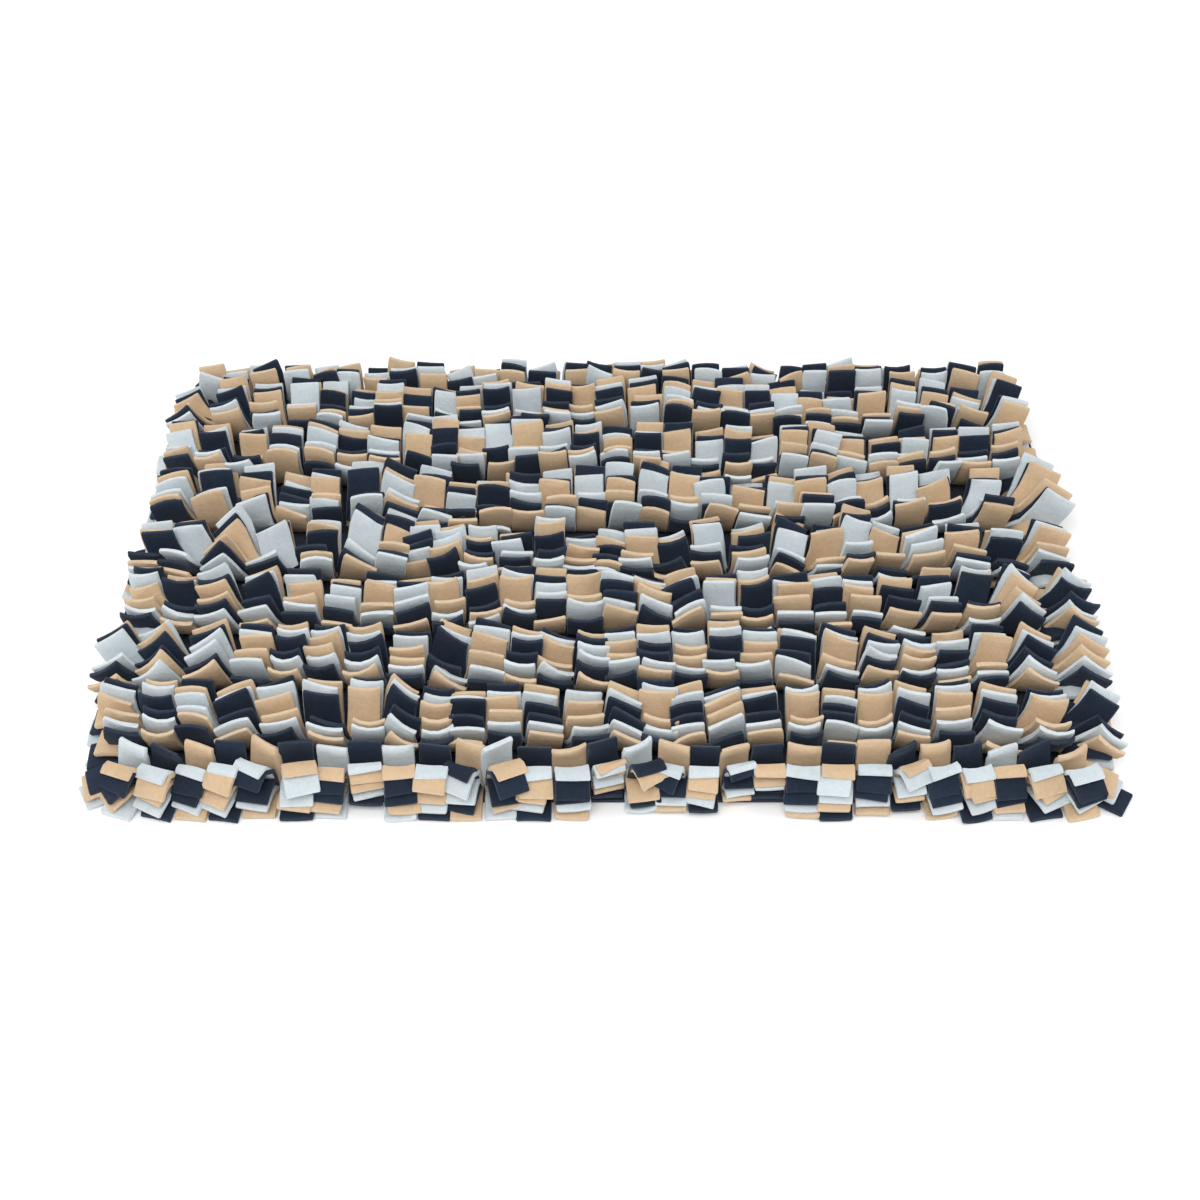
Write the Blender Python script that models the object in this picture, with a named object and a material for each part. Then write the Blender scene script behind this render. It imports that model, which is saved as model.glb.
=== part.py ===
"""A rectangular snuffle mat: fleece tabs sewn in close rows on a base cloth.

Units are metres and +Z is up. X runs along the rows and Y across them, and the front edge
faces -Y. The origin is on the floor, under the middle of the mat.

The base cloth is one flat sheet. A bundle is three fleece rectangles stitched to it across
their middles, so three tabs stand up on each side of its seam. Two neighbouring rows share a
seam, but the first and the last row have their own and hold both ends of their bundles. Each
row is one solid here: its tabs stand close at the foot and spread above it, so its section is
a foot under a wider, domed top, with a small step between two bundles. The tabs at the rim of
the mat are four-sided locks that stand apart but for their roots in their row.
"""

import math
import random
from collections import namedtuple

import bmesh
import bpy
from mathutils import Vector

# Driving dimensions, in metres.
ROWS = 16
ROW_SPAN = 0.447  # from the first row to the last
BUNDLES = 26  # bundles in a row
RIM_BUNDLES = 29  # the first and last rows are sewn closer
ROW_HALF_LENGTH = 0.3225  # the least reach of a row along X
ROW_STAGGER = 0.008  # how much further some rows reach
CLOTH_THICKNESS = 0.0025
CLOTH_MARGIN = 0.0075  # of base cloth beyond the first and last rows
CLOTH_HALF_LENGTH = 0.3205
CLOTH_CORNER = 0.012
CLOTH_WAVER = 0.0007  # unevenness of the cut edge
CLOTH_WAVER_TURNS = 3.3  # waves along one side of the base cloth
CLOTH_WAVER_STEP = 0.29  # turns by which the next side's waves are shifted
CLEARANCE = 0.0003  # between the base cloth and the rows
FOOT_HALF = 0.0085  # half of a row's foot, where its tabs stand close
PILE_HEIGHT = 0.0385  # floor to the crown of a row
EDGE_DROP = 0.0065  # the outermost tabs end this much lower than the crown
STEP_WIDTH = 0.0016  # of the step between two bundles
FURROW_HALF = 0.0013  # least distance from a row to the middle of the furrow beside it
TAB_THICKNESS = 0.0036
BELLY = 0.0012  # how far the rim side of a row bulges between its foot and its edge

# Rim locks, lowest first. Reach is from the row's middle line or end to the tip, height is
# that of the tip's middle, and a level lock lies on the floor.
Lock = namedtuple("Lock", "reach height level")
FRONT_LOCKS = (
    Lock(reach=0.0270, height=TAB_THICKNESS / 2, level=True),
    Lock(reach=0.0245, height=0.0085, level=False),
    Lock(reach=0.0215, height=0.0175, level=False),
)
BACK_LOCKS = (
    Lock(reach=0.0265, height=TAB_THICKNESS / 2, level=True),
    Lock(reach=0.0240, height=0.0105, level=False),
    Lock(reach=0.0210, height=0.0205, level=False),
)
END_LOCKS = (
    Lock(reach=0.0215, height=TAB_THICKNESS / 2, level=True),
    Lock(reach=0.0200, height=0.0115, level=False),
    Lock(reach=0.0160, height=0.0225, level=False),
)
BANDS = len(END_LOCKS) + 1  # a rim side's bands: one for each lock and one above them
BEND_SHARE = 0.4  # of a level lock's way out, where it comes down to the floor
RIM_LOCK_FILL = 0.80  # of a bundle's width
END_LOCK_WIDTH = 0.0215
LOCK_TURN = 0.20  # the most a lock turns in plan, in radians
LOCK_SHIFT = 0.0010
REACH_SPREAD = 0.0022  # the most a lock falls short of its reach

# Places along the front edge where the tabs have drawn back by a share of their way out.
Recess = namedtuple("Recess", "x half_width share")
RECESSES = (
    Recess(x=0.010, half_width=0.014, share=0.40),
    Recess(x=0.112, half_width=0.024, share=0.55),
)

# Waves that a furrow wanders by: turns per metre along X, and turns from one furrow to the
# next. The furrows are straight near the ends of the rows.
Wander = namedtuple("Wander", "along step size")
FURROW_WANDERS = (
    Wander(along=5.2, step=0.37, size=0.0032),
    Wander(along=12.3, step=0.61, size=0.0016),
)
WANDER_END = 0.30  # X past which a furrow is straight
WANDER_FADE = 0.04  # along X

# Waves of the rows' ends: turns from row to row and from the middle of a row to its end.
Stagger = namedtuple("Stagger", "step side share")
STAGGERS = (
    Stagger(step=0.23, side=0.40, share=0.30),
    Stagger(step=0.61, side=0.00, share=0.20),
)

# Slow swells of the pile's height, in turns per metre along X and Y.
Swell = namedtuple("Swell", "along across phase size")
SWELLS = (
    Swell(along=3.1, across=0.7, phase=0.10, size=0.0014),
    Swell(along=-1.3, across=3.9, phase=0.45, size=0.0012),
    Swell(along=5.3, across=4.4, phase=0.80, size=0.0010),
)
HOLLOW_X = 0.020
HOLLOW_Y = 0.015
HOLLOW_RADIUS = 0.055
HOLLOW_DEPTH = 0.0065

# How much one bundle differs from the next.
BUNDLE_LEAN = 0.0022
BUNDLE_TURN = 0.0012
BUNDLE_LIFT = 0.0022
EDGE_SPREAD = 0.0028

FLEECES = (
    ("fleece_navy", (0.016, 0.023, 0.050)),
    ("fleece_tan", (0.750, 0.480, 0.265)),
    ("fleece_pale_blue", (0.610, 0.680, 0.730)),
)
CLOTH_COLOUR = (0.030, 0.036, 0.055)
FLEECE_ROUGHNESS = 0.95

ROW_PITCH = ROW_SPAN / (ROWS - 1)
FRONT_LINE = -ROW_SPAN / 2
FOOT_Z = CLOTH_THICKNESS + CLEARANCE

# One cut across a row at x. Front, crown and back are its upper corners, each as (y, z).
Section = namedtuple("Section", "x front crown back")

# The vertices of one cut: front and back run from the foot up to the outermost tab's edge.
Ring = namedtuple("Ring", "front crown back")


def clear_scene():
    for obj in list(bpy.data.objects):
        bpy.data.objects.remove(obj, do_unlink=True)


def new_collection(name):
    collection = bpy.data.collections.new(name)
    bpy.context.scene.collection.children.link(collection)
    return collection


def cloth_material(name, colour):
    material = bpy.data.materials.new(name)
    material.use_nodes = True
    shader = material.node_tree.nodes["Principled BSDF"]
    shader.inputs["Base Color"].default_value = (*colour, 1.0)
    shader.inputs["Roughness"].default_value = FLEECE_ROUGHNESS
    shader.inputs["Metallic"].default_value = 0.0
    material.diffuse_color = (*colour, 1.0)
    return material


def wave(turns):
    return math.sin(2 * math.pi * turns)


def ease(value, low, high):
    """0 below low, 1 above high and a smooth rise between them."""
    share = min(max((value - low) / (high - low), 0.0), 1.0)
    return share * share * (3 - 2 * share)


def row_y(row):
    return FRONT_LINE + row * ROW_PITCH


def furrow_y(gap, x):
    """Y of the furrow in front of row number gap. It wanders, but not near the row's ends."""
    offset = sum(w.size * wave(w.along * x + w.step * gap) for w in FURROW_WANDERS)
    calm = 1 - ease(abs(x), WANDER_END - WANDER_FADE, WANDER_END)
    return row_y(gap - 0.5) + offset * calm


def crown_height(x, y):
    """Height of the pile at its crown, with its slow swells and one hollow near the middle."""
    height = PILE_HEIGHT
    for swell in SWELLS:
        height += swell.size * wave(swell.along * x + swell.across * y + swell.phase)
    away = ((x - HOLLOW_X) ** 2 + (y - HOLLOW_Y) ** 2) / HOLLOW_RADIUS**2
    return height - HOLLOW_DEPTH * math.exp(-away)


def drawn_back(x):
    """The share by which the front tabs at x have drawn back."""
    total = 0.0
    for place in RECESSES:
        total += place.share * math.exp(-(((x - place.x) / place.half_width) ** 2))
    return total


def row_end(row, side):
    """X of a row's end, where side is -1 or 1. Rows end up to ROW_STAGGER apart."""
    stagger = 0.5 + sum(s.share * wave(s.step * row + s.side * side) for s in STAGGERS)
    return side * (ROW_HALF_LENGTH + ROW_STAGGER * stagger)


def bundle_sections(row, count, chance):
    """Two sections for each bundle of a row, at its left and its right side."""
    left, right = row_end(row, -1), row_end(row, 1)
    pitch = (right - left) / count
    sections = []
    for bundle in range(count):
        lean = chance.uniform(-BUNDLE_LEAN, BUNDLE_LEAN)
        turn = chance.uniform(-BUNDLE_TURN, BUNDLE_TURN)
        lift = chance.uniform(-BUNDLE_LIFT, BUNDLE_LIFT)
        front_drop = EDGE_DROP + chance.uniform(-EDGE_SPREAD, EDGE_SPREAD)
        back_drop = EDGE_DROP + chance.uniform(-EDGE_SPREAD, EDGE_SPREAD)
        front_space = FURROW_HALF + abs(turn) + chance.uniform(0, BUNDLE_LEAN)
        back_space = FURROW_HALF + abs(turn) + chance.uniform(0, BUNDLE_LEAN)
        start = left + bundle * pitch
        near = start + (STEP_WIDTH / 2 if bundle > 0 else 0)
        far = start + pitch - (STEP_WIDTH / 2 if bundle < count - 1 else 0)
        for side, x in ((-1, near), (1, far)):
            top = crown_height(x, row_y(row)) + lift
            front = furrow_y(row, x) + front_space + turn * side
            back = furrow_y(row + 1, x) - back_space + turn * side
            crown = (front + back) / 2 + lean
            sections.append(
                Section(x, (front, top - front_drop), (crown, top), (back, top - back_drop))
            )
    return sections


def side_points(foot, edge, bands, belly):
    """Points from a row's foot up to its edge, with a belly pushed out along Y."""
    points = []
    for step in range(bands + 1):
        share = step / bands
        bulge = belly * math.sin(math.pi * share)
        y = foot[0] + (edge[0] - foot[0]) * share + bulge
        z = foot[1] + (edge[1] - foot[1]) * share
        points.append((y, z))
    return points


def add_ring(bm, section, line, front_bands, back_bands):
    def verts(points):
        return [bm.verts.new((section.x, y, z)) for y, z in points]

    front_foot = (line - FOOT_HALF, FOOT_Z)
    back_foot = (line + FOOT_HALF, FOOT_Z)
    front_belly = -BELLY if front_bands > 1 else 0.0
    back_belly = BELLY if back_bands > 1 else 0.0
    return Ring(
        verts(side_points(front_foot, section.front, front_bands, front_belly)),
        verts([section.crown])[0],
        verts(side_points(back_foot, section.back, back_bands, back_belly)),
    )


def join_runs(bm, run, other):
    """Faces between two runs of vertices: quads, or a fan where one run has only two."""
    if len(run) == len(other):
        return [
            bm.faces.new((run[k], run[k + 1], other[k + 1], other[k]))
            for k in range(len(run) - 1)
        ]
    short, long = (run, other) if len(run) == 2 else (other, run)
    middle = len(long) // 2
    faces = [bm.faces.new((short[0], short[1], long[middle]))]
    for k in range(len(long) - 1):
        hub = short[0] if k < middle else short[1]
        faces.append(bm.faces.new((hub, long[k + 1], long[k])))
    return faces


def join_rings(bm, ring, other):
    """The skin between two cuts. It returns the faces of the front and of the back side."""
    bm.faces.new((ring.back[0], ring.front[0], other.front[0], other.back[0]))
    bm.faces.new((ring.front[-1], ring.crown, other.crown, other.front[-1]))
    bm.faces.new((ring.crown, ring.back[-1], other.back[-1], other.crown))
    return join_runs(bm, ring.front, other.front), join_runs(bm, ring.back, other.back)


def close_end(bm, ring):
    """The end of a row, in bands. It returns the bands that grow locks, lowest first."""
    roots = []
    for k in range(BANDS - 1):
        corners = (ring.front[k], ring.front[k + 1], ring.back[k + 1], ring.back[k])
        roots.append(bm.faces.new(corners))
    bm.faces.new((ring.front[-2], ring.front[-1], ring.crown, ring.back[-1], ring.back[-2]))
    return roots


def grow_lock(bm, root, stations):
    """Pull a face out through stations of (centre, half across, half up)."""
    face = root
    for centre, across, up in stations:
        middle = face.calc_center_median()
        face = bmesh.ops.extrude_discrete_faces(bm, faces=[face])["faces"][0]
        for vert in face.verts:
            offset = vert.co - middle
            side = 1 if offset.dot(across) > 0 else -1
            level = 1 if offset.dot(up) > 0 else -1
            vert.co = centre + side * across + level * up


def lock_stations(root, outward, lock, reach, origin, width, chance):
    """Stations of one lock. Outward is a unit vector, and reach is measured from origin."""
    turn = chance.uniform(-LOCK_TURN, LOCK_TURN)
    sideways = Vector((-outward.y, outward.x, 0))
    across = (sideways * math.cos(turn) + outward * math.sin(turn)) * width / 2
    middle = root.calc_center_median()
    base = (middle - origin).dot(outward)
    shift = sideways * ((middle - origin).dot(sideways) + chance.uniform(-LOCK_SHIFT, LOCK_SHIFT))

    def place(distance):
        return origin + shift + outward * distance + Vector((0, 0, lock.height))

    if lock.level:
        up = Vector((0, 0, TAB_THICKNESS / 2))
        bend = base + BEND_SHARE * (reach - base)
        flat_across = sideways * width / 2
        return [(place(bend), flat_across, up), (place(reach), across, up)]
    tip = place(reach)
    along = (tip - middle).normalized()
    up = sideways.cross(along)
    if up.z < 0:
        up.negate()
    return [(tip, across, up.normalized() * TAB_THICKNESS / 2)]


def grow_locks(bm, roots, locks, outward, origin, width, share, chance):
    """Locks on the bands of one bundle or one row end. Share is how far they draw back."""
    for root, lock in zip(roots, locks):
        base = (root.calc_center_median() - origin).dot(outward)
        way = lock.reach - base - chance.uniform(0, REACH_SPREAD)
        reach = base + way * (1 - share)
        stations = lock_stations(root, outward, lock, reach, origin, width, chance)
        grow_lock(bm, root, stations)


def build_row(row, collection, material):
    count = RIM_BUNDLES if row in (0, ROWS - 1) else BUNDLES
    chance = random.Random(1000 + row)
    front_bands = BANDS if row == 0 else 1
    back_bands = BANDS if row == ROWS - 1 else 1
    sections = bundle_sections(row, count, chance)
    line = row_y(row)

    bm = bmesh.new()
    rings = []
    for section in sections:
        at_end = section is sections[0] or section is sections[-1]
        front = BANDS if at_end else front_bands
        back = BANDS if at_end else back_bands
        rings.append(add_ring(bm, section, line, front, back))
    sides = [join_rings(bm, ring, other) for ring, other in zip(rings, rings[1:])]
    ends = {-1: close_end(bm, rings[0]), 1: close_end(bm, rings[-1])}
    bmesh.ops.recalc_face_normals(bm, faces=bm.faces)

    width = (row_end(row, 1) - row_end(row, -1)) / count * RIM_LOCK_FILL
    for bundle in range(count):
        front_faces, back_faces = sides[2 * bundle]
        middle_x = (sections[2 * bundle].x + sections[2 * bundle + 1].x) / 2
        origin = Vector((middle_x, line, 0))
        if row == 0:
            share = drawn_back(middle_x)
            grow_locks(bm, front_faces, FRONT_LOCKS, Vector((0, -1, 0)), origin, width, share, chance)
        if row == ROWS - 1:
            grow_locks(bm, back_faces, BACK_LOCKS, Vector((0, 1, 0)), origin, width, 0, chance)
    for side, roots in ends.items():
        origin = Vector((row_end(row, side), line, 0))
        grow_locks(bm, roots, END_LOCKS, Vector((side, 0, 0)), origin, END_LOCK_WIDTH, 0, chance)

    mesh = bpy.data.meshes.new(f"tab_row_{row + 1:02d}")
    bm.to_mesh(mesh)
    bm.free()
    mesh.materials.append(material)
    obj = bpy.data.objects.new(mesh.name, mesh)
    collection.objects.link(obj)
    return obj


def cloth_outline():
    """The base cloth's cut edge: a rectangle with round corners and a slight waver."""
    half_x = CLOTH_HALF_LENGTH - CLOTH_CORNER
    half_y = ROW_SPAN / 2 + CLOTH_MARGIN - CLOTH_CORNER
    corner_steps, side_steps = 5, 10
    corners = ((half_x, half_y), (-half_x, half_y), (-half_x, -half_y), (half_x, -half_y))
    points = []
    for index, (x, y) in enumerate(corners):
        for step in range(corner_steps + 1):
            angle = math.pi / 2 * (index + step / corner_steps)
            points.append((x + CLOTH_CORNER * math.cos(angle), y + CLOTH_CORNER * math.sin(angle)))
        start, (next_x, next_y) = points[-1], corners[(index + 1) % 4]
        angle = math.pi / 2 * (index + 1)
        end = (next_x + CLOTH_CORNER * math.cos(angle), next_y + CLOTH_CORNER * math.sin(angle))
        for step in range(1, side_steps):
            share = step / side_steps
            turns = CLOTH_WAVER_TURNS * share + CLOTH_WAVER_STEP * index
            waver = CLOTH_WAVER * (wave(turns) - 1) / 2
            x = start[0] + (end[0] - start[0]) * share + waver * math.cos(angle)
            y = start[1] + (end[1] - start[1]) * share + waver * math.sin(angle)
            points.append((x, y))
    return points


def build_cloth(collection, material):
    curve = bpy.data.curves.new("base_cloth", "CURVE")
    curve.dimensions = "2D"
    curve.fill_mode = "BOTH"
    curve.extrude = CLOTH_THICKNESS / 2
    points = cloth_outline()
    spline = curve.splines.new("POLY")
    spline.points.add(len(points) - 1)
    for point, (x, y) in zip(spline.points, points):
        point.co = (x, y, 0, 1)
    spline.use_cyclic_u = True
    curve.materials.append(material)
    obj = bpy.data.objects.new("base_cloth", curve)
    obj.location.z = CLOTH_THICKNESS / 2
    collection.objects.link(obj)
    return obj


def main():
    clear_scene()
    mat = new_collection("snuffle_mat")
    build_cloth(mat, cloth_material("base_cloth", CLOTH_COLOUR))
    fleeces = [cloth_material(name, colour) for name, colour in FLEECES]
    for row in range(ROWS):
        build_row(row, mat, fleeces[row % len(fleeces)])


main()
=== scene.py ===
# %% [markdown]
# # A snuffle mat
# A snuffle mat is a base cloth with close rows of fleece tabs sewn on it. A dog noses food out
# of the pile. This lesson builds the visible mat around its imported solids: first the camera,
# then the shapes of the tabs, the fleece, the rows as pieces, the base cloth with its stitches,
# and last the floor and the lamps.
#
# The frame holds one solid for each sewn row and one for the base cloth. Every piece made
# here stands for one of them and rides on the same body.

# %% Load the frame
import math

import bpy
import numpy as np
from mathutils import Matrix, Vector


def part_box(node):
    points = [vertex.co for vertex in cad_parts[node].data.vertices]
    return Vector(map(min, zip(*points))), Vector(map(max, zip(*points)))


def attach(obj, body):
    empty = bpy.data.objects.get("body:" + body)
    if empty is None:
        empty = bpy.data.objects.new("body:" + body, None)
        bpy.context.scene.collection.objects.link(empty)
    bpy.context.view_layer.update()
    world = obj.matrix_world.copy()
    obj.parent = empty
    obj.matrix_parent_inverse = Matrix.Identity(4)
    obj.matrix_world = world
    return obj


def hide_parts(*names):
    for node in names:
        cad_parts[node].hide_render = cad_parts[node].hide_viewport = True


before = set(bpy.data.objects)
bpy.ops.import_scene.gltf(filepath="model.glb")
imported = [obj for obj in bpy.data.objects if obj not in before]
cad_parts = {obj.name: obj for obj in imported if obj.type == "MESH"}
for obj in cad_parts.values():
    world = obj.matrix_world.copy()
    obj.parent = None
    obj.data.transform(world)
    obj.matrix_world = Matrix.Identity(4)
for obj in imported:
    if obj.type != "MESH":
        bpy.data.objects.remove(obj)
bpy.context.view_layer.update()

ROWS = sum(name.startswith("tab_row_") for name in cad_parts)

# %% [markdown]
# ## The camera
# The mat lies flat and is seen from above its front edge, with a long lens. The camera looks a
# little in front of the mat's middle, so that the mat stands slightly high in the picture.

# %% Camera
VIEW_ELEVATION = math.radians(40.0)
VIEW_DISTANCE = 1.523
VIEW_TARGET = Vector((0.0, -0.0223, 0.0))
LENS_MM = 60.4
SENSOR_MM = 36.0


def aimed(name, data, place, target):
    """A new object at place whose -Z axis points at target."""
    item = bpy.data.objects.new(name, data)
    item.location = place
    item.rotation_mode = "QUATERNION"
    item.rotation_quaternion = (target - Vector(place)).to_track_quat("-Z", "Y")
    bpy.context.scene.collection.objects.link(item)
    return item


camera_data = bpy.data.cameras.new("camera")
camera_data.lens = LENS_MM
camera_data.sensor_width = SENSOR_MM
camera_data.clip_start, camera_data.clip_end = 0.1, 30.0
view = Vector((0.0, -math.cos(VIEW_ELEVATION), math.sin(VIEW_ELEVATION)))
camera = aimed("camera", camera_data, VIEW_DISTANCE * view, VIEW_TARGET)
bpy.context.scene.camera = camera
print("camera at", [round(v, 3) for v in camera.location])

# %% [markdown]
# ## How the rows lie
# The driving sizes come back from the boxes of the solids: the seams are evenly spaced inside
# the base cloth. Between two rows of tabs is a furrow that wanders a little. Both rows share
# it, so that their tabs hardly cross.

# %% Sizes of the mat
CLOTH_LOW, CLOTH_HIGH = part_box("base_cloth")
CLOTH_MARGIN = 0.0075
FRONT_SEAM = CLOTH_LOW[1] + CLOTH_MARGIN
ROW_PITCH = (CLOTH_HIGH[1] - CLOTH_LOW[1] - 2 * CLOTH_MARGIN) / (ROWS - 1)
BUNDLES, RIM_BUNDLES = 26, 29
ROW_HALF_LENGTH, ROW_STAGGER = 0.3225, 0.008
CLOTH_TOP = CLOTH_HIGH[2]
PILE_HEIGHT = 0.0385
# Size, turns for each metre along X and along Y, and start of the slow waves of its height.
PILE_WAVES = ((0.0014, 3.1, 0.7, 0.10), (0.0012, -1.3, 3.9, 0.45), (0.0010, 5.3, 4.4, 0.80))
HOLLOW_X, HOLLOW_Y, HOLLOW_HALF, HOLLOW_DEPTH = 0.020, 0.015, 0.055, 0.0065
MIDDLE_Y, MIDDLE_HALF = 0.005, 0.090
TAB_FILL = 0.985  # tab width as a share of the bundle's width


def wave(turns):
    return np.sin(2 * np.pi * turns)


def ease(value, low, high):
    """0 below low, 1 above high, and a smooth s-curve between them."""
    share = np.clip((value - low) / (high - low), 0.0, 1.0)
    return share * share * (3 - 2 * share)


def seam_y(row):
    return FRONT_SEAM + row * ROW_PITCH


def row_end(row, side):
    """X of a row's end: the least reach plus a stagger made of two waves over the rows."""
    stagger = 0.5 + 0.3 * wave(0.23 * row + 0.40 * side) + 0.2 * wave(0.61 * row)
    return side * (ROW_HALF_LENGTH + ROW_STAGGER * stagger)


def furrow_y(gap, x):
    """Y of the furrow in front of row number gap: a straight line plus two waves along X,
    stronger in the middle of the mat, which fade out near the ends of the rows."""
    wander = 0.0034 * wave(5.2 * x + 0.37 * gap) + 0.0017 * wave(12.3 * x + 0.61 * gap)
    wander = wander * (1 + 0.5 * middle_zone(seam_y(gap - 0.5)))
    return seam_y(gap - 0.5) + wander * (1 - ease(np.abs(x), 0.27, 0.32))


def middle_zone(y):
    """1 across the middle of the mat and 0 near its front and back, as a bell curve."""
    return np.exp(-(((y - MIDDLE_Y) / MIDDLE_HALF) ** 2))


def crown_height(x, y):
    """Height of the pile: three slow waves over the mat and one hollow near its middle."""
    waves = sum(size * wave(along * x + back * y + start) for size, along, back, start in PILE_WAVES)
    away = ((x - HOLLOW_X) ** 2 + (y - HOLLOW_Y) ** 2) / HOLLOW_HALF**2
    return PILE_HEIGHT + waves - HOLLOW_DEPTH * np.exp(-away)


print("row pitch:", round(ROW_PITCH, 4), "front seam:", round(FRONT_SEAM, 4))

# %% [markdown]
# ## Fleece tabs
# A bundle is three fleece rectangles laid on each other and stitched to the base cloth across
# their middles. Their ends stand up as six tabs: three in the row in front of the seam and
# three in the row behind it. Each tab is one closed strip: a path from the seam to the tip,
# with a rounded section carried along it. The path is a cubic Bezier curve that leaves the seam
# sideways, held down by the inner rectangles, and then turns up. All tabs of a row are worked
# out together as one array.

# %% Path and section of a tab
# Rings lie closer near the tip, where the cut corners are rounded.
RING_SHARES = np.array([0.0, 0.28, 0.56, 0.82, 0.975, 1.0])
RING_THICKNESS = np.array([0.75, 1.0, 1.0, 1.0, 1.0, 0.66])
RING_WIDTH = np.array([0.97, 1.0, 1.0, 1.0, 0.998, 0.962])
# Across a tab, from its left edge to its right.
ACROSS = np.array([-0.955, -0.55, 0.0, 0.55, 0.955])
RING_POINTS = 2 * len(ACROSS) + 2


def unit(vectors):
    return vectors / np.maximum(np.linalg.norm(vectors, axis=-1, keepdims=True), 1e-9)


def bezier_path(root, leave, arrive, tip):
    """Cubic Bezier curve. For each tab it mixes four points with the weights (1-t)^3,
    3t(1-t)^2, 3t^2(1-t) and t^3, at every share t along the tab."""
    t = RING_SHARES[None, :, None]
    mix = ((1 - t) ** 3, 3 * t * (1 - t) ** 2, 3 * t**2 * (1 - t), t**3)
    return sum(m * p[:, None, :] for m, p in zip(mix, (root, leave, arrive, tip)))


def tab_surface(tabs):
    """Carries the rounded section along each path. The point of a ring is
    path + across * side * width/2 + (up * thickness/2 + bow) * normal, where side is made
    square to the path and normal is side x direction. The bow is cup * (across^2 - 0.4), and
    skew slides the corners of the tip along the path."""
    path = bezier_path(tabs["root"], tabs["leave"], tabs["arrive"], tabs["tip"])
    direction = unit(np.gradient(path, axis=1))
    turned = ease(RING_SHARES, 0.0, 0.9)[None, :, None]
    side = tabs["side_root"][:, None, :] * (1 - turned) + tabs["side_tip"][:, None, :] * turned
    side = unit(side - (side * direction).sum(-1, keepdims=True) * direction)
    normal = np.cross(side, direction)
    across = np.concatenate([ACROSS, [1.0], ACROSS[::-1], [-1.0]])
    up = np.concatenate([np.ones(5), [0.0], -np.ones(5), [0.0]])
    a, u = across[None, None, :, None], up[None, None, :, None]
    half = (tabs["width"][:, None] * RING_WIDTH / 2)[:, :, None, None]
    thick = (tabs["thickness"][:, None] * RING_THICKNESS / 2)[:, :, None, None]
    along = RING_SHARES[None, :, None, None]
    bow = tabs["cup"][:, None, None, None] * along * (a * a - 0.4)
    slide = tabs["skew"][:, None, None, None] * along**3 * a
    return (
        path[:, :, None, :]
        + a * half * side[:, :, None, :]
        + (u * thick + bow) * normal[:, :, None, :]
        + slide * direction[:, :, None, :]
    )


def tube_quads(rings, sides):
    """Quads between the neighbouring rings of a tube."""
    ring, point = np.meshgrid(np.arange(rings - 1), np.arange(sides), indexing="ij")
    here, after = ring * sides, (point + 1) % sides
    corners = [here + point, here + after, here + sides + after, here + sides + point]
    return np.stack(corners, axis=-1).reshape(-1, 4)


def copied(faces, count, step):
    """The same faces on each of count copies that have step points each."""
    return (faces + (np.arange(count) * step)[:, None, None]).reshape(-1, faces.shape[1])


def tab_faces(count):
    """The quads of every tab, and the flat faces that close its ends."""
    end_quads = np.array([[0, 1, 9, 10], [1, 2, 8, 9], [2, 3, 7, 8], [3, 4, 6, 7]])
    end_threes = np.array([[0, 10, 11], [4, 5, 6]])
    last = (len(RING_SHARES) - 1) * RING_POINTS
    quads = tube_quads(len(RING_SHARES), RING_POINTS)
    quads = np.concatenate([quads, end_quads[:, ::-1], end_quads + last])
    threes = np.concatenate([end_threes[:, ::-1], end_threes + last])
    step = len(RING_SHARES) * RING_POINTS
    return copied(quads, count, step), copied(threes, count, step)


print("faces of one tab:", sum(len(part) for part in tab_faces(1)))

# %% [markdown]
# ## Bundles along a seam
# The bundles of one seam stand side by side. Each is a little out of line, turned and lifted,
# and its three colours come in their own order. Mostly two orders take turns: tan outside and
# navy inside, then the other way round, with pale blue between them. At the front rim and
# further back more bundles break that habit. Both rows of a seam draw the same numbers,
# because their tabs are the two ends of the same rectangles.

# %% Bundles along a seam
FLEECES = ("fleece_navy", "fleece_tan", "fleece_pale_blue")
NAVY, TAN, PALE = range(3)
# Colours of the inner, middle and outer rectangle.
ORDERS = [[NAVY, PALE, TAN], [TAN, PALE, NAVY], [TAN, NAVY, PALE]]
ORDERS = np.array(ORDERS + [[NAVY, TAN, PALE], [PALE, TAN, NAVY], [PALE, NAVY, TAN]])
FRONT_HABIT, BACK_HABIT = (0, 1), (2, 5)  # the orders that take turns along a seam
# Share of bundles that break the habit: at the rim, behind it, and what is added further back.
RIM_BREAKS, FRONT_BREAKS, MORE_BREAKS = 0.48, 0.12, 0.42
LAST = ROWS - 1
# Size of each draw in front, and what is added at the back and in the middle of the mat.
SIZES = {
    "shift": (0.0009, 0.0008, 0.0004),
    "away": (0.0022, 0.0024, 0.0014),
    "lift": (0.0018, 0.0024, 0.0022),
    "turn": np.radians([19.0, -7.0, 3.0]),
    "roll": np.radians([12.0, -3.0, 4.0]),
    "open": (0.27, 0.0, 0.08),
}
NEIGHBOUR_SHARES = [0.4, 0.7, 0.4]  # neighbours lean alike
SLANTED_SHARE, SLANTED_TURN, SLANTED_ROLL = 0.25, math.radians(7.0), math.radians(14.0)


def zoned(sizes, first, second):
    """The first size, plus the others where their zones' values are above 0."""
    return sizes[0] + sizes[1] * first + sizes[2] * second


def seam_of(row):
    """A row's seam: its number and its Y. The first and last rows have a seam of their own, and
    two neighbours share each seam between them."""
    if row in (0, LAST):
        return (row + 1) // 2, seam_y(row)
    return (row + 1) // 2, seam_y(row + 0.5 if row % 2 else row - 0.5)


SEAM_Y = sorted({seam_of(row)[1] for row in range(ROWS)})


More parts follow.
